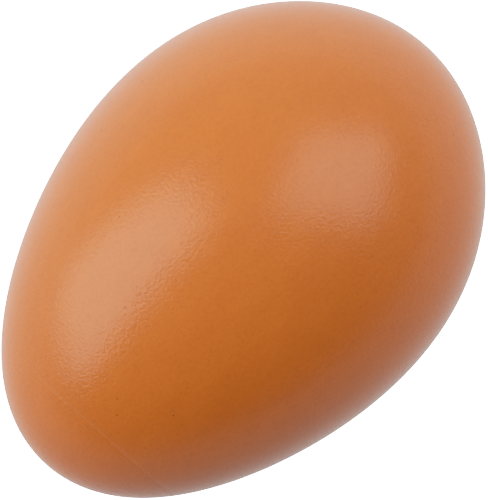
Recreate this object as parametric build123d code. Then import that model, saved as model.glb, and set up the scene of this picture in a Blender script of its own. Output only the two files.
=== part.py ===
from build123d import *
from math import cos, hypot, pi, sin, sqrt
import os

# Egg shaker: a turned beech egg, bored from its pointed end, loaded with steel shot and plugged.
#
# The egg lies on its side. Its long axis runs along X, with the pointed end towards -X and the
# blunt end towards +X. The origin is on the surface that it lies on, under the middle of its
# length, and +Z is up. Every round piece but the shot is turned about the long axis.
#
# The pieces:
#   egg_body        the egg, with a flat-bottomed bore for the shot
#   end_plug        closes the bore, and is turned flush so that it forms the pointed tip
#   plug_glue       the glue that fills the fit, its two grooves and the corner inside
#   steel_ball_NN   loose shot, lying in the bottom of the bore in nested rows

# ---- driving dimensions, in millimetres -------------------------------------------------

EGG_LENGTH = 60.0  # pole to pole
EGG_MID_BREADTH = 43.1  # diameter half way along the length
TAPER = 0.142  # how much fuller the blunt half is than the pointed half
FLANK_FULLNESS = -0.015  # fuller (+) or leaner (-) flanks near both ends
END_TAPER = -0.071  # taper that is given back near the ends
OUTLINE_STATIONS = 24  # points of the formula that the turned outline is drawn through

BORE_DIAMETER = 25.4  # a flat-bottomed one-inch bit
BORE_END_WALL = 10.0  # wood left at the blunt pole, to the floor of the bore
SPUR_DIAMETER = 3.0  # pit left by the point of the bit
SPUR_DEPTH = 1.6

PLUG_GLUE_GAP = 0.15  # radial room for glue between the plug and the bore
PLUG_SHANK_LENGTH = 8.0  # straight stretch of the plug inside the bore
PLUG_CHAMFER = 0.8  # at the inner end of the plug
GLUE_GROOVE_WIDTH = 1.2
GLUE_GROOVE_DEPTH = 0.5
GLUE_GROOVE_COUNT = 2

BALL_DIAMETER = 4.0
BALL_SPACING = 0.3  # room between one ball and the next
BALL_WALL_GAP = 0.05  # room between a ball and the wall of the bore
HIGHEST_ROW = 55.0  # degrees that a row of balls may lie up the side of the bore

# ---- the outline of the egg -------------------------------------------------------------


def outline_point(t):
    """The outline at parameter t, from -90 degrees at the pointed pole to +90 at the blunt one.

    Gives the distance along the axis from mid-length, and the radius.
    """
    s = sin(t)
    swell = 1 + TAPER * s + FLANK_FULLNESS * s**2 + END_TAPER * s**3
    return EGG_LENGTH / 2 * s, EGG_MID_BREADTH / 2 * cos(t) * swell


def outline_direction(t):
    """Unit direction of the outline at t, towards the blunt pole."""
    s, c = sin(t), cos(t)
    swell = 1 + TAPER * s + FLANK_FULLNESS * s**2 + END_TAPER * s**3
    swell_rate = (TAPER + 2 * FLANK_FULLNESS * s + 3 * END_TAPER * s**2) * c
    along = EGG_LENGTH / 2 * c
    outward = EGG_MID_BREADTH / 2 * (c * swell_rate - s * swell)
    size = hypot(along, outward)
    return along / size, outward / size


def halved(low, high, is_low):
    """The value between low and high where is_low turns from true to false."""
    for _ in range(60):
        middle = (low + high) / 2
        if is_low(middle):
            low = middle
        else:
            high = middle
    return (low + high) / 2


POINTED_POLE = -pi / 2
BLUNT_POLE = pi / 2
GIRTH = halved(-pi / 4, pi / 4, lambda t: outline_direction(t)[1] > 0)
GIRTH_X, GIRTH_RADIUS = outline_point(GIRTH)


def pointed_side(radius):
    """The outline parameter on the pointed side where the egg has this radius."""
    return halved(POINTED_POLE, GIRTH, lambda t: outline_point(t)[1] < radius)


def outline_edge(start, end):
    """The outline between two parameters, drawn as one smooth curve."""
    steps = OUTLINE_STATIONS
    stations = [start + (end - start) * n / steps for n in range(steps + 1)]
    points = [outline_point(t) for t in stations]
    tangents = [outline_direction(start), outline_direction(end)]
    return Spline(*points, tangents=tangents, tangent_scalars=[1, 1])


# ---- places that several pieces share ---------------------------------------------------

AXIS_HEIGHT = GIRTH_RADIUS
BORE_RADIUS = BORE_DIAMETER / 2
PLUG_RADIUS = BORE_RADIUS - PLUG_GLUE_GAP
BORE_MOUTH = pointed_side(BORE_RADIUS)
PLUG_EDGE = pointed_side(PLUG_RADIUS)
BORE_MOUTH_X = outline_point(BORE_MOUTH)[0]
PLUG_EDGE_X = outline_point(PLUG_EDGE)[0]
BORE_FLOOR_X = EGG_LENGTH / 2 - BORE_END_WALL
PLUG_END_X = BORE_MOUTH_X + PLUG_SHANK_LENGTH


def turned(edges):
    """The solid that a closed outline sweeps about the long axis, at the height of that axis."""
    face = Face(Wire(edges))
    return Pos(0, 0, AXIS_HEIGHT) * revolve(Plane.XZ * face, Axis.X, 360)


def runs(*points):
    """Straight edges from each point to the next."""
    return [Line(a, b) for a, b in zip(points, points[1:])]


def plug_side():
    """Points along the side of the plug, from the surface of the egg to its inner face."""
    floor = PLUG_RADIUS - GLUE_GROOVE_DEPTH
    side = [(PLUG_EDGE_X, PLUG_RADIUS)]
    pitch = PLUG_SHANK_LENGTH / (GLUE_GROOVE_COUNT + 1)
    for n in range(GLUE_GROOVE_COUNT):
        near = BORE_MOUTH_X + pitch * (n + 1) - GLUE_GROOVE_WIDTH / 2
        far = near + GLUE_GROOVE_WIDTH
        side += [(near, PLUG_RADIUS), (near, floor), (far, floor), (far, PLUG_RADIUS)]
    side += [(PLUG_END_X - PLUG_CHAMFER, PLUG_RADIUS), (PLUG_END_X, PLUG_RADIUS - PLUG_CHAMFER)]
    return side


# ---- the pieces -------------------------------------------------------------------------


def egg_body():
    """The egg from the mouth of the bore to the blunt pole, with the bore and its spur pit."""
    skin = outline_edge(BORE_MOUTH, BLUNT_POLE)
    bore = runs(
        (EGG_LENGTH / 2, 0),
        (BORE_FLOOR_X + SPUR_DEPTH, 0),
        (BORE_FLOOR_X, SPUR_DIAMETER / 2),
        (BORE_FLOOR_X, BORE_RADIUS),
        (BORE_MOUTH_X, BORE_RADIUS),
    )
    return turned([skin, *bore])


def end_plug():
    """The plug: the pointed tip, a grooved shank and a chamfered inner end."""
    skin = outline_edge(POINTED_POLE, PLUG_EDGE)
    inside = runs(*plug_side(), (PLUG_END_X, 0), (-EGG_LENGTH / 2, 0))
    return turned([skin, *inside])


def plug_glue():
    """The glue between plug and bore, out to the skin, with a fillet of squeezed-out glue inside."""
    side = plug_side()
    fillet = (PLUG_END_X, BORE_RADIUS)
    return turned(runs(*side, fillet, (BORE_MOUTH_X, BORE_RADIUS), side[0]))


def ball_centres():
    """Where each ball lies, as x, y and height, and how far it can fly up to the bore's roof.

    The shot lies one layer deep, so that each ball has a clear way straight up. Its rows run
    along the bore, and each row is set half a ball along from the row beside it.
    """
    pitch = BALL_DIAMETER + BALL_SPACING
    row_step = pitch * sqrt(3) / 2
    reach = BORE_RADIUS - BALL_DIAMETER / 2 - BALL_WALL_GAP
    room = BORE_FLOOR_X - PLUG_END_X - 2 * BALL_WALL_GAP - BALL_DIAMETER
    side_rows = int(reach * sin(HIGHEST_ROW * pi / 180) / row_step)
    rows = [0] + [side * n for n in range(1, side_rows + 1) for side in (-1, 1)]
    centres = []
    for row in rows:
        nesting = pitch / 2 * (row % 2)
        in_row = int((room - 2 * nesting) / pitch) + 1
        y = row * row_step
        drop = sqrt(reach**2 - y**2)
        start = (BORE_FLOOR_X + PLUG_END_X) / 2 - pitch * (in_row - 1) / 2
        for n in range(in_row):
            centres.append((start + pitch * n, y, AXIS_HEIGHT - drop, 2 * drop))
    return centres


def steel_ball(centre):
    """One ball of the shot."""
    return Pos(*centre[:3]) * Sphere(BALL_DIAMETER / 2)


def pieces():
    """Every piece by its name."""
    made = {"egg_body": egg_body(), "end_plug": end_plug(), "plug_glue": plug_glue()}
    for n, centre in enumerate(ball_centres(), start=1):
        made[f"steel_ball_{n:02d}"] = steel_ball(centre)
    return made


if __name__ == "__main__":
    os.makedirs("parts", exist_ok=True)
    for name, solid in pieces().items():
        export_step(solid, f"parts/{name}.step")
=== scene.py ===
"""Egg shaker: a turned beech egg in brown lacquer, with steel shot inside, on a light table.

The file is laid out as a Blender add-on and is run as a script. The CAD frame gives the places:
the outer pieces are turned here as on a lathe, from the outline of the egg, and the shot keeps
its CAD shapes. Sizes are in metres. The egg's long axis is +X, towards its blunt end, and the
egg lies on its side, with +Z up.
"""

from math import cos, exp, hypot, pi, radians, sin

import bpy
from bpy.props import FloatProperty, FloatVectorProperty, IntProperty, PointerProperty
from mathutils import Euler, Matrix, Vector


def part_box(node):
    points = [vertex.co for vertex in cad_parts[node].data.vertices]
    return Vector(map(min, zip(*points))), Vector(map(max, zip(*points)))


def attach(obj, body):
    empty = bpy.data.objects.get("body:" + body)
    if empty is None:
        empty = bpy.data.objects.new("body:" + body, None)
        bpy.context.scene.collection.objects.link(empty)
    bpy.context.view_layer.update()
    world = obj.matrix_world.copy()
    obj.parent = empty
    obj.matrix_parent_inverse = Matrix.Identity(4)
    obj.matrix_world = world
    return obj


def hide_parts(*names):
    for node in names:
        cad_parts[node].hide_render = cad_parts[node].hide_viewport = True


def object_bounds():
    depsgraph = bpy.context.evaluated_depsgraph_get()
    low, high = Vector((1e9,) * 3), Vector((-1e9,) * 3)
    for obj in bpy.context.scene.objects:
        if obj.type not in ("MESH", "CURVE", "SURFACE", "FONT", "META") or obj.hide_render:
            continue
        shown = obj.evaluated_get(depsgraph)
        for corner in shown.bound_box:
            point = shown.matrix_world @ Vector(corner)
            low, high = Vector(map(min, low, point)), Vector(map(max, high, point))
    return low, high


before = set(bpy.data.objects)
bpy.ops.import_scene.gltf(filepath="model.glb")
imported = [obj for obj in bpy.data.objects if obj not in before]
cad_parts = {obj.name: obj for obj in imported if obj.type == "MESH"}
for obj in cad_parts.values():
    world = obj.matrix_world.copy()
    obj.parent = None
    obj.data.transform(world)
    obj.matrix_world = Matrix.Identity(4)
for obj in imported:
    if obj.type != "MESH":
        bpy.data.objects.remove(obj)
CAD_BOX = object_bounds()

bl_info = {
    "name": "Egg Shaker",
    "version": (1, 0, 0),
    "blender": (4, 5, 0),
    "location": "View3D > Sidebar > Egg Shaker",
    "description": "Models a lacquered wooden egg shaker around its CAD frame",
    "category": "Object",
}

MM = 0.001
HALF_LENGTH = (CAD_BOX[1].x - CAD_BOX[0].x) / 2
MID_LENGTH = (CAD_BOX[1].x + CAD_BOX[0].x) / 2
AXIS_HEIGHT = (CAD_BOX[1].z + CAD_BOX[0].z) / 2
POINTED_POLE = -pi / 2
BLUNT_POLE = pi / 2
MOUTH_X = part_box("egg_body")[0].x
PLUG_EDGE_X, PLUG_END_X = (corner.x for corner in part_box("plug_glue"))
SHOT = sorted(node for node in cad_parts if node.startswith("steel_ball"))

SKIN_STEP = 0.45 * MM  # distance between points of the outline where it is plain
MARKED_STEP = 0.17 * MM  # and where it has turning marks
MERGE_WITHIN = 0.001 * MM
ON_EDGE = 0.003 * MM  # how near a point is to an edge to belong to it
ON_BORE = 0.005 * MM  # how near a face is to the wall of the bore to belong to it
EASING_STEPS = 3
SHARPEST_SMOOTH = radians(30)
HALVINGS = 50


# ---- sizes and colours that a user may change -------------------------------------------


def length(name, description, millimetres):
    """A length, which the panel shows in the scene's own unit."""
    return FloatProperty(
        name=name, description=description, default=millimetres * MM, unit="LENGTH", precision=5
    )


def colour(name, description, default):
    """A colour, as linear red, green and blue."""
    return FloatVectorProperty(
        name=name, description=description, default=default, subtype="COLOR", size=3, min=0, max=1
    )


def share(name, description, default):
    """A number from 0 to 1."""
    return FloatProperty(
        name=name, description=description, default=default, min=0, max=1, subtype="FACTOR"
    )


def level(name, description, default):
    """How bright a light is, where 1 is white."""
    return FloatProperty(name=name, description=description, default=default, min=0)


class EggSizes(bpy.types.PropertyGroup):
    """Sizes of the egg, its bore, its plug and the marks of its making."""

    breadth: length("Breadth", "Diameter half way along the egg", 43.1)
    taper: FloatProperty(
        name="Taper", description="How much fuller the blunt half is", default=0.142
    )
    flanks: FloatProperty(name="Flanks", description="Fuller flanks near both ends", default=-0.015)
    ends: FloatProperty(name="Ends", description="Taper added near both ends", default=-0.071)
    bore: length("Bore", "Diameter of the bore that holds the shot", 25.4)
    end_wall: length("End wall", "Wood between the bore and the blunt pole", 10)
    spur_width: length("Spur width", "Width of the pit left by the point of the bit", 3)
    spur_depth: length("Spur depth", "Depth of that pit", 1.6)
    glue_gap: length("Glue gap", "Room for glue round the plug", 0.15)
    chamfer: length("Chamfer", "Chamfer at the inner end of the plug", 0.8)
    groove_width: length("Groove width", "Width of a glue groove", 1.2)
    groove_depth: length("Groove depth", "Depth of a glue groove", 0.5)
    grooves: IntProperty(
        name="Grooves", description="Glue grooves round the plug", default=2, min=0
    )
    eased_edge: length("Eased edge", "Sanding of both edges along the joint", 0.02)
    joint_depth: length("Joint depth", "How far the lacquer sinks over the glue", 0.006)
    mark_pitch: length("Tool mark pitch", "Distance between turning marks at the ends", 1.2)
    mark_height: length("Tool mark height", "Height of a turning mark", 0.0025)
    mark_reach: length("Tool mark reach", "Largest radius that has turning marks", 13)
    spokes: IntProperty(name="Spokes", description="Steps in a full turn", default=192, min=12)


class EggColours(bpy.types.PropertyGroup):
    """Colours and finish of the lacquer, the wood, the glue and the shot."""

    lacquer: colour("Lacquer", "Body colour of the lacquer", (0.665, 0.161, 0.019))
    lacquer_deep: colour("Deep lacquer", "Where the lacquer lies thicker", (0.595, 0.137, 0.013))
    # The colour inside a pinhole is painted shade: the lacquer's brown darkened to stand for the
    # shade in the pit.
    pinhole_shade: colour("Pore", "Inside a pinhole of the lacquer", (0.22, 0.055, 0.010))
    film: share("Film roughness", "Softness of what the lacquer film reflects", 0.24)
    beech: colour("Beech", "Bare wood", (0.62, 0.40, 0.22))
    beech_fleck: colour("Beech fleck", "Flecks and late wood of the bare wood", (0.40, 0.21, 0.10))
    glue: colour("Glue", "Dried wood glue", (0.64, 0.41, 0.16))
    steel: colour("Steel", "Bright steel shot", (0.60, 0.59, 0.57))


class StudioSettings(bpy.types.PropertyGroup):
    """The light table, the soft lights, the backdrop and the camera."""

    table: colour("Table", "Top of the light table", (0.9, 0.9, 0.9))
    table_glow: level("Table glow", "How bright the light table looks", 5.0)
    tip_box: level("Tip softbox", "Softbox on the side of the pointed end", 2.9)
    girth_box: level("Girth softbox", "Softbox on the side of the blunt end", 2.1)
    below: level("Below", "Light that reaches the egg from the table", 0.98)
    horizon: level("Horizon", "Backdrop near the table", 0.50)
    zenith: level("Zenith", "Backdrop overhead", 0.49)
    blunt_side: level("Blunt side", "How much brighter the backdrop is there", 0.27)
    window_side: level("Window side", "How much brighter the backdrop is there", 0.39)
    shoulder: level("Shoulder", "Brightness where the camera starts to hold highlights back", 0.3)
    lens: FloatProperty(name="Lens", description="Focal length", default=300, unit="CAMERA")


class EggShaker(bpy.types.PropertyGroup):
    """All the settings of the egg shaker."""

    sizes: PointerProperty(type=EggSizes, name="Sizes", description="Sizes of the pieces")
    colours: PointerProperty(type=EggColours, name="Colours", description="Colours and finish")
    studio: PointerProperty(type=StudioSettings, name="Studio", description="Lights and camera")


# ---- the outlines that are turned -------------------------------------------------------
# A point of an outline is (distance along the long axis, radius).


def egg_point(sizes, t):
    """The egg's outline at t, from -90 degrees at the pointed pole to +90 at the blunt one."""
    s = sin(t)
    swell = 1 + sizes.taper * s + sizes.flanks * s**2 + sizes.ends * s**3
    return MID_LENGTH + HALF_LENGTH * s, max(0.0, sizes.breadth / 2 * cos(t) * swell)


def place_of_radius(sizes, radius, pole):
    """Where the outline has this radius, between mid-length and a pole."""
    far, near = pole, 0.0
    for _ in range(HALVINGS):
        middle = (far + near) / 2
        if egg_point(sizes, middle)[1] < radius:
            far = middle
        else:
            near = middle
    return (far + near) / 2


def skin(sizes, start, end, spacing):
    """Points along the egg's outline, with the faint turning marks that both ends have."""
    steps = max(2, round(abs(end - start) * sizes.breadth / 2 / spacing))
    points = []
    for n in range(steps + 1):
        t = start + (end - start) * n / steps
        x, radius = egg_point(sizes, t)
        if sizes.mark_pitch / 2 < radius < sizes.mark_reach:
            fading = sin(pi * radius / sizes.mark_reach) ** 2
            height = sizes.mark_height * fading * sin(2 * pi * radius / sizes.mark_pitch)
            x += height if t > 0 else -height
        points.append((x, radius))
    return points


def body_outline(sizes):
    """The body, from the tip of the spur pit round the bore and the skin to the blunt pole."""
    bore = sizes.bore / 2
    floor_x = CAD_BOX[1].x - sizes.end_wall
    inside = [
        (floor_x + sizes.spur_depth, 0),
        (floor_x, sizes.spur_width / 2),
        (floor_x, bore),
    ]
    mouth = place_of_radius(sizes, bore, POINTED_POLE)
    marks = place_of_radius(sizes, sizes.mark_reach, BLUNT_POLE)
    plain = skin(sizes, mouth, marks, SKIN_STEP)
    return inside + plain[:-1] + skin(sizes, marks, BLUNT_POLE, MARKED_STEP)


def plug_side(sizes):
    """The side of the plug, from the mouth of the bore to its inner face."""
    radius = sizes.bore / 2 - sizes.glue_gap
    floor = radius - sizes.groove_depth
    pitch = (PLUG_END_X - MOUTH_X) / (sizes.grooves + 1)
    points = []
    for n in range(sizes.grooves):
        near = MOUTH_X + pitch * (n + 1) - sizes.groove_width / 2
        far = near + sizes.groove_width
        points += [(near, radius), (near, floor), (far, floor), (far, radius)]
    return points + [(PLUG_END_X - sizes.chamfer, radius), (PLUG_END_X, radius - sizes.chamfer)]


def plug_outline(sizes):
    """The plug, from the middle of its inner face round its side and its skin to the tip."""
    edge = place_of_radius(sizes, sizes.bore / 2 - sizes.glue_gap, POINTED_POLE)
    tip = skin(sizes, edge, POINTED_POLE, MARKED_STEP)
    return [(PLUG_END_X, 0)] + plug_side(sizes)[::-1] + tip


def glue_outline(sizes):
    """The glue round the plug, sunk a little at the skin and with a fillet inside."""
    bore = sizes.bore / 2
    edge = (PLUG_EDGE_X + sizes.joint_depth, bore - sizes.glue_gap)
    outside = (MOUTH_X + sizes.joint_depth, bore)
    return [edge] + plug_side(sizes) + [(PLUG_END_X, bore), outside, edge]


# ---- modelling --------------------------------------------------------------------------


def start_piece(name, location):
    """A single point that a piece grows from, in edit mode and with nothing else selected."""
    bpy.ops.object.select_all(action="DESELECT")
    bpy.ops.mesh.primitive_plane_add(size=MM, location=location)
    piece = bpy.context.object
    piece.name = piece.data.name = name
    bpy.ops.object.transform_apply(location=True, rotation=True, scale=True)
    bpy.ops.object.mode_set(mode="EDIT")
    bpy.ops.mesh.select_mode(type="VERT")
    bpy.ops.mesh.select_all(action="SELECT")
    bpy.ops.mesh.merge(type="CENTER")
    return piece


def turn(name, outline, sizes):
    """Draws an outline point by point and spins it a full turn about the long axis."""
    x, radius = outline[0]
    piece = start_piece(name, (x, 0, AXIS_HEIGHT + radius))
    for (x0, r0), (x1, r1) in zip(outline, outline[1:]):
        bpy.ops.mesh.extrude_region_move(TRANSFORM_OT_translate={"value": (x1 - x0, 0, r1 - r0)})
    bpy.ops.mesh.select_all(action="SELECT")
    bpy.ops.mesh.spin(
        steps=sizes.spokes, angle=2 * pi, center=(0, 0, AXIS_HEIGHT), axis=(1, 0, 0)
    )
    bpy.ops.mesh.select_all(action="SELECT")
    bpy.ops.mesh.remove_doubles(threshold=MERGE_WITHIN)
    bpy.ops.mesh.normals_make_consistent(inside=False)
    bpy.ops.object.mode_set(mode="OBJECT")
    return piece


def from_axis(point):
    """How far a point is from the long axis."""
    return hypot(point.y, point.z - AXIS_HEIGHT)


def ease_edge(piece, x, radius, width):
    """Rounds the edge that runs round the piece at this place and radius."""
    mesh = piece.data
    for vertex in mesh.vertices:
        off_by = hypot(vertex.co.x - x, from_axis(vertex.co) - radius)
        vertex.select = off_by < ON_EDGE
    for edge in mesh.edges:
        edge.select = all(mesh.vertices[v].select for v in edge.vertices)
    for face in mesh.polygons:
        face.select = False
    if not any(edge.select for edge in mesh.edges):
        raise RuntimeError(f"{piece.name} has no edge to ease at x = {x / MM:.2f} mm")
    bpy.ops.object.mode_set(mode="EDIT")
    bpy.ops.mesh.select_mode(type="EDGE")
    bpy.ops.mesh.bevel(
        offset=width, offset_type="OFFSET", segments=EASING_STEPS, affect="EDGES"
    )
    bpy.ops.object.mode_set(mode="OBJECT")


def finish_piece(piece, coats, is_second, node):
    """Smooths a piece, gives its faces one of two finishes and puts it in its node's place."""
    for coat in coats:
        piece.data.materials.append(coat)
    for face in piece.data.polygons:
        face.material_index = 1 if is_second(face) else 0
    bpy.ops.object.select_all(action="DESELECT")
    piece.select_set(True)
    bpy.context.view_layer.objects.active = piece
    bpy.ops.object.shade_smooth_by_angle(angle=SHARPEST_SMOOTH)
    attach(piece, "egg")
    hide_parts(node)


# ---- materials --------------------------------------------------------------------------


class Value:
    """A value on its way between nodes. Sums and products on it add Math nodes."""

    def __init__(self, recipe, socket):
        self.recipe, self.socket = recipe, socket

    def _math(self, operation, first, second):
        return self.recipe.node("ShaderNodeMath", {"operation": operation}, {0: first, 1: second})

    def __add__(self, other):
        return self._math("ADD", self, other)

    def __sub__(self, other):
        return self._math("SUBTRACT", self, other)

    def __rsub__(self, other):
        return self._math("SUBTRACT", other, self)

    def __mul__(self, other):
        return self._math("MULTIPLY", self, other)

    __radd__ = __add__
    __rmul__ = __mul__


class Recipe:
    """The nodes of one material or backdrop."""

    def __init__(self, owner):
        owner.use_nodes = True
        self.tree = owner.node_tree
        self.tree.nodes.clear()

    def node(self, kind, settings=None, inputs=None, output=0):
        """Adds a node with its settings, then its input values or links, and gives an output."""
        made = self.tree.nodes.new(kind)
        for name, setting in (settings or {}).items():
            setattr(made, name, setting)
        for name, given in (inputs or {}).items():
            if isinstance(given, Value):
                self.tree.links.new(given.socket, made.inputs[name])
            else:
                made.inputs[name].default_value = given
        return Value(self, made.outputs[output]) if made.outputs else made

    def place(self, grain):
        """Object coordinates, in metres, with each direction divided by a grain size."""
        spot = self.node("ShaderNodeTexCoord", output="Object")
        scale = tuple(1 / size for size in grain)
        return self.node("ShaderNodeMapping", {}, {"Vector": spot, "Scale": scale})

    def noise(self, grain, detail, distortion=0.0):
        """Soft noise about 0.5, as fine as its grain in each direction."""
        return self.node(
            "ShaderNodeTexNoise",
            {"noise_dimensions": "3D"},
            {
                "Vector": self.place(grain),
                "Scale": 1.0,
                "Detail": detail,
                "Roughness": 0.5,
                "Distortion": distortion,
            },
            "Fac",
        )

    def cells(self, grain):
        """The distance to the middle of the nearest of many scattered cells of a grain size."""
        inputs = {"Vector": self.place(grain), "Scale": 1.0, "Randomness": 1.0}
        return self.node("ShaderNodeTexVoronoi", {}, inputs, "Distance")

    def ramp(self, value, low, high):
        """0 below low, 1 above high and a smooth rise between. High may be the lower one."""
        return self.node(
            "ShaderNodeMapRange",
            {"interpolation_type": "SMOOTHSTEP", "clamp": True},
            {"Value": value, "From Min": low, "From Max": high, "To Min": 0.0, "To Max": 1.0},
        )

    def blend(self, factor, first, second):
        """A colour between two colours."""
        first, second = (c if isinstance(c, Value) else (*c, 1) for c in (first, second))
        return self.node(
            "ShaderNodeMix",
            {"data_type": "RGBA", "clamp_factor": True},
            {"Factor": factor, 6: first, 7: second},
            2,
        )

    def bump(self, height, depth, under=None):
        """A bump as deep as a height of 1 stands for, on top of another one."""
        inputs = {"Height": height, "Distance": depth, "Strength": 1.0}
        if under is not None:
            inputs["Normal"] = under
        return self.node("ShaderNodeBump", {}, inputs)

    def surface(self, **inputs):
        """A Principled surface. A socket's name is given with _ for a space."""
        named = {name.replace("_", " "): given for name, given in inputs.items()}
        shader = self.node("ShaderNodeBsdfPrincipled", {}, named)
        self.node("ShaderNodeOutputMaterial", {}, {"Surface": shader})


def coat_named(name):
    """The material of this name, made when it isn't there yet."""
    return bpy.data.materials.get(name) or bpy.data.materials.new(name)


def brown_lacquer(colours):
    """Satin brown lacquer that hides most of the wood, with a fine orange-peel skin."""
    material = coat_named("brown_lacquer")
    recipe = Recipe(material)
    clouds = recipe.noise((9 * MM, 5 * MM, 5 * MM), detail=3)
    mottle = recipe.noise((2.2 * MM,) * 3, detail=3)
    streaks = recipe.noise((9 * MM, 0.6 * MM, 0.6 * MM), detail=2)
    depth = clouds * 0.9 + mottle * 0.6 + streaks * 0.5 - 0.5
    specks = recipe.ramp(recipe.noise((0.36 * MM,) * 3, detail=2), 0.45, 0.7)
    pores = recipe.ramp(recipe.cells((2.6 * MM, 1.4 * MM, 1.4 * MM)), 0.085, 0.04)
    crowd = recipe.ramp(recipe.noise((6 * MM,) * 3, detail=1), 0.55, 0.62)
    shaded_pinholes = pores * crowd
    body = recipe.blend(depth, tuple(colours.lacquer), tuple(colours.lacquer_deep))
    peel = recipe.noise((0.30 * MM,) * 3, detail=2)
    relief = recipe.bump(peel, 0.042 * MM)
    relief = recipe.bump(shaded_pinholes * -1.0, 0.006 * MM, relief)
    # Pinholes are painted darker towards that colour, as painted shade inside the pits, and their
    # small dents are real bumps. The fine specks darken a little towards the same colour at random.
    recipe.surface(
        Base_Color=recipe.blend(shaded_pinholes * 0.8 + specks * 0.1, body, tuple(colours.pinhole_shade)),
        Roughness=peel * 0.08 + (colours.film - 0.04),
        IOR=1.5,
        Normal=relief,
    )
    return material


def bare_beech(colours):
    """Bare beech as the bit leaves it: growth layers, short rays and fine tool lines."""
    material = coat_named("bare_beech")
    recipe = Recipe(material)
    layers = recipe.noise((60 * MM, 2.4 * MM, 40 * MM), detail=2, distortion=0.3)
    rays = recipe.ramp(recipe.cells((2.6 * MM, 0.35 * MM, 0.8 * MM)), 0.28, 0.12)
    pores = recipe.noise((1.2 * MM, 0.09 * MM, 0.09 * MM), detail=2)
    lines = recipe.noise((0.25 * MM, 9 * MM, 9 * MM), detail=1)
    shade = recipe.ramp(layers, 0.35, 0.7) * 0.45 + rays * 0.4 + pores * 0.2
    relief = recipe.bump(pores + lines * 0.8, 0.02 * MM)
    recipe.surface(
        Base_Color=recipe.blend(shade, tuple(colours.beech), tuple(colours.beech_fleck)),
        Roughness=pores * 0.2 + 0.6,
        IOR=1.5,
        Normal=relief,
    )
    return material


def wood_glue(colours):
    """Dried wood glue: amber, a little cloudy, with small bubbles."""
    material = coat_named("wood_glue")
    recipe = Recipe(material)
    cloud = recipe.noise((1.5 * MM,) * 3, detail=3)
    bubbles = recipe.ramp(recipe.cells((0.7 * MM,) * 3), 0.22, 0.14)
    pale = tuple(min(1.0, part * 1.35) for part in colours.glue)
    recipe.surface(
        Base_Color=recipe.blend(cloud * 0.6 + bubbles * 0.4, tuple(colours.glue), pale),
        Roughness=cloud * 0.2 + 0.3,
        IOR=1.47,
        Subsurface_Weight=0.2,
        Subsurface_Scale=1 * MM,
        Normal=recipe.bump(cloud + bubbles, 0.05 * MM),
    )
    return material


def steel_shot(colours):
    """Tumbled steel shot: bright, with fine random scuffs and a few duller spots."""
    material = coat_named("steel_shot_scuffed")
    recipe = Recipe(material)
    scuffs = recipe.noise((0.5 * MM, 0.12 * MM, 0.3 * MM), detail=3, distortion=1.5)
    spots = recipe.ramp(recipe.noise((1.1 * MM,) * 3, detail=2), 0.5, 0.75)
    dull = tuple(part * 0.72 for part in colours.steel)
    recipe.surface(
        Base_Color=recipe.blend(spots * 0.7, tuple(colours.steel), dull),
        Metallic=1.0,
        Roughness=scuffs * 0.16 + spots * 0.12 + 0.10,
        Normal=recipe.bump(scuffs, 0.002 * MM),
    )
    return material


# ---- operators --------------------------------------------------------------------------


class TurnBody(bpy.types.Operator):
    """Turn the egg's body, with its bore, and lacquer the outside"""

    bl_idname = "egg_shaker.turn_body"
    bl_label = "Turn Body"

    def execute(self, context):
        settings = context.scene.egg_shaker
        sizes, bore = settings.sizes, settings.sizes.bore / 2
        piece = turn("egg_body_turned", body_outline(sizes), sizes)
        ease_edge(piece, MOUTH_X, bore, sizes.eased_edge)
        mouth_end = MOUTH_X + sizes.eased_edge
        bore_end = CAD_BOX[1].x - sizes.end_wall + sizes.spur_depth

        def in_bore(face):
            deep = mouth_end < face.center.x < bore_end
            return deep and from_axis(face.center) < bore + ON_BORE

        coats = [brown_lacquer(settings.colours), bare_beech(settings.colours)]
        finish_piece(piece, coats, in_bore, "egg_body")
        return {"FINISHED"}


class TurnPlug(bpy.types.Operator):
    """Turn the plug that closes the bore, and lacquer its tip"""

    bl_idname = "egg_shaker.turn_plug"
    bl_label = "Turn Plug"

    def execute(self, context):
        settings = context.scene.egg_shaker
        sizes = settings.sizes
        piece = turn("end_plug_turned", plug_outline(sizes), sizes)
        ease_edge(piece, PLUG_EDGE_X, sizes.bore / 2 - sizes.glue_gap, sizes.eased_edge)

        def in_bore(face):
            return face.center.x > PLUG_EDGE_X + sizes.eased_edge

        coats = [brown_lacquer(settings.colours), bare_beech(settings.colours)]
        finish_piece(piece, coats, in_bore, "end_plug")
        return {"FINISHED"}


class SpreadGlue(bpy.types.Operator):
    """Fill the fit of the plug with glue, lacquered over where it meets the skin"""

    bl_idname = "egg_shaker.spread_glue"
    bl_label = "Spread Glue"

    def execute(self, context):
        settings = context.scene.egg_shaker
        sizes = settings.sizes
        piece = turn("plug_glue_dried", glue_outline(sizes), sizes)

        def at_skin(face):
            return face.normal.x < -0.3 and face.center.x < MOUTH_X + sizes.joint_depth

        coats = [wood_glue(settings.colours), brown_lacquer(settings.colours)]
        finish_piece(piece, coats, at_skin, "plug_glue")
        return {"FINISHED"}


class PolishShot(bpy.types.Operator):
    """Give every ball of the shot its scuffed steel finish"""

    bl_idname = "egg_shaker.polish_shot"
    bl_label = "Polish Shot"

    def execute(self, context):
        steel = steel_shot(context.scene.egg_shaker.colours)
        for name in SHOT:
            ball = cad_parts[name]
            for slot in ball.material_slots:
                slot.material = steel
        return {"FINISHED"}


# Each softbox hangs round the egg: its bearing and height in degrees, how far it is turned in
# its own plane, how far it leans along its width and its height, and its width and height.
SOFTBOX_DISTANCE = 600 * MM
SOFTBOXES = {
    "tip_box": ((120.1, 37.8), 39.4, (0.758, -0.379), (680 * MM, 460 * MM)),
    "girth_box": ((-10.6, 50.6), 41.1, (-0.504, 0.182), (490 * MM, 570 * MM)),
}


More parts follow.
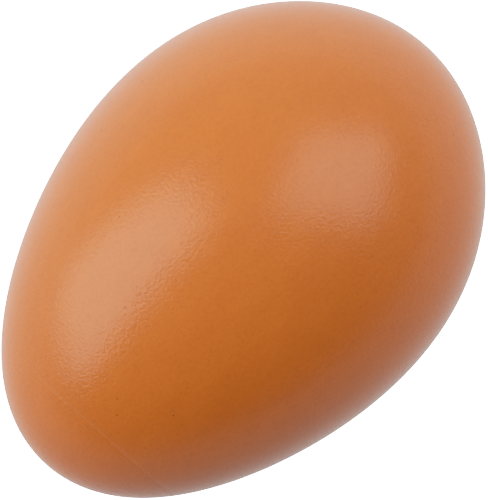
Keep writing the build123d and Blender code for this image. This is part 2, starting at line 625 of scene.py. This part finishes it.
def hang_softbox(name, radiance, aim):
    """A rectangular light that faces the egg, and that no view shows."""
    (bearing, height), turned_by, (lean_u, lean_v), (width, tall) = SOFTBOXES[name]
    away = Euler((0, -radians(height), radians(bearing))).to_matrix() @ Vector((1, 0, 0))
    u = Vector((0, 0, 1)).cross(-away).normalized()
    v = (-away).cross(u)
    roll = Matrix.Rotation(radians(turned_by), 3, -away)
    u, v = roll @ u, roll @ v
    facing = (-away + lean_u * u + lean_v * v).normalized()
    u = (u - u.dot(facing) * facing).normalized()
    v = facing.cross(u)
    light = bpy.data.lights.new(name, "AREA")
    light.shape = "RECTANGLE"
    light.size, light.size_y = width, tall
    light.energy = radiance * pi * width * tall
    box = bpy.data.objects.new(name, light)
    box.matrix_world = Matrix.LocRotScale(
        aim + away * SOFTBOX_DISTANCE, Matrix((u, -v, -facing)).transposed(), None
    )
    box.visible_camera = False
    bpy.context.scene.collection.objects.link(box)


class SetStage(bpy.types.Operator):
    """Set up the light table, the backdrop, the softboxes and the camera"""

    bl_idname = "egg_shaker.set_stage"
    bl_label = "Set Stage"

    table_radius = 1.2
    table_sides = 96
    roll = radians(47.32)
    aim_across = 0.813 * MM
    aim_up = 0.565 * MM
    distance_per_lens = 1.474
    white = 4.5
    shoulder_points = 14

    def execute(self, context):
        studio = context.scene.egg_shaker.studio
        self.lay_table(studio)
        self.hang_backdrop(context.scene, studio)
        middle = Vector((MID_LENGTH, 0, AXIS_HEIGHT))
        for name in SOFTBOXES:
            hang_softbox(name, getattr(studio, name), middle)
        self.aim_camera(context.scene, studio, middle)
        self.hold_highlights(context.scene, studio)
        return {"FINISHED"}

    def lay_table(self, studio):
        """A round table that glows for the camera, and that the egg isn't lit by."""
        bpy.ops.object.select_all(action="DESELECT")
        bpy.ops.mesh.primitive_circle_add(
            vertices=self.table_sides,
            radius=self.table_radius,
            fill_type="NGON",
            location=(0, 0, CAD_BOX[0].z),
        )
        table = bpy.context.object
        table.name = table.data.name = "light_table"
        bpy.ops.object.transform_apply(location=True, rotation=True, scale=True)
        material = bpy.data.materials.new("table_top")
        recipe = Recipe(material)
        recipe.surface(
            Base_Color=(*studio.table, 1),
            Roughness=0.6,
            Specular_IOR_Level=0.0,
            Emission_Color=(1, 1, 1, 1),
            Emission_Strength=studio.table_glow,
        )
        table.data.materials.append(material)
        table.visible_diffuse = table.visible_glossy = False

    def hang_backdrop(self, scene, studio):
        """Light from all round: from below, from near the table and from overhead."""
        scene.world = bpy.data.worlds.new("backdrop")
        recipe = Recipe(scene.world)
        spot = recipe.node("ShaderNodeTexCoord", output="Generated")
        along, side, height = (
            recipe.node("ShaderNodeSeparateXYZ", {}, {"Vector": spot}, axis) for axis in "XYZ"
        )
        rise = recipe.ramp(height, 0.1, 0.9)
        above = recipe.ramp(height, -0.08, 0.08)
        sky = rise * (studio.zenith - studio.horizon) + studio.horizon
        glow = above * (sky - studio.below) + studio.below
        glow = glow + along * studio.blunt_side + side * studio.window_side
        light = recipe.node("ShaderNodeBackground", {}, {"Color": (1, 1, 1, 1), "Strength": glow})
        recipe.node("ShaderNodeOutputWorld", {}, {"Surface": light})

    def hold_highlights(self, scene, studio):
        """A camera's soft shoulder: brightness past a point climbs ever more slowly to white."""
        scene.view_settings.view_transform = "Standard"
        scene.view_settings.use_curve_mapping = True
        mapping = scene.view_settings.curve_mapping
        mapping.white_level = (self.white,) * 3
        curve = mapping.curves[3]
        start, room = studio.shoulder, 1 - studio.shoulder
        curve.points[-1].location = (1, 1)
        for n in range(1, self.shoulder_points):
            given = self.white * (n / self.shoulder_points) ** 2
            held = given if given < start else start + room * (1 - exp((start - given) / room))
            curve.points.new(given / self.white, held)
        mapping.update()

    def aim_camera(self, scene, studio, middle):
        """A long lens straight overhead, rolled so that the egg lies across the picture."""
        camera = bpy.data.objects.new("camera", bpy.data.cameras.new("camera"))
        camera.data.lens = studio.lens
        camera.rotation_euler = (0, 0, -self.roll)
        across, up, back = camera.rotation_euler.to_matrix().transposed()
        distance = studio.lens * self.distance_per_lens * MM
        camera.location = middle + self.aim_across * across + self.aim_up * up + distance * back
        camera.data.clip_start, camera.data.clip_end = distance / 20, distance * 20
        scene.collection.objects.link(camera)
        scene.camera = camera


class EggShakerPanel(bpy.types.Panel):
    """Lists the settings and the steps that make the egg shaker"""

    bl_idname = "VIEW3D_PT_egg_shaker"
    bl_label = "Egg Shaker"
    bl_space_type = "VIEW_3D"
    bl_region_type = "UI"
    bl_category = "Egg Shaker"

    def draw(self, context):
        settings = context.scene.egg_shaker
        for group in (settings.sizes, settings.colours, settings.studio):
            box = self.layout.box()
            for name in group.__annotations__:
                box.prop(group, name)
        for step in STEPS:
            self.layout.operator(step.bl_idname)


STEPS = (TurnBody, TurnPlug, SpreadGlue, PolishShot, SetStage)
CLASSES = (EggSizes, EggColours, StudioSettings, EggShaker, *STEPS, EggShakerPanel)


def register():
    """Registers the classes and the scene's settings."""
    for each in CLASSES:
        bpy.utils.register_class(each)
    bpy.types.Scene.egg_shaker = PointerProperty(type=EggShaker)


def unregister():
    """Takes the settings and the classes away again."""
    del bpy.types.Scene.egg_shaker
    for each in reversed(CLASSES):
        bpy.utils.unregister_class(each)


def main():
    """Makes every piece and the stage."""
    register()
    bpy.ops.egg_shaker.turn_body()
    bpy.ops.egg_shaker.turn_plug()
    bpy.ops.egg_shaker.spread_glue()
    bpy.ops.egg_shaker.polish_shot()
    bpy.ops.egg_shaker.set_stage()


if __name__ == "__main__":
    main()
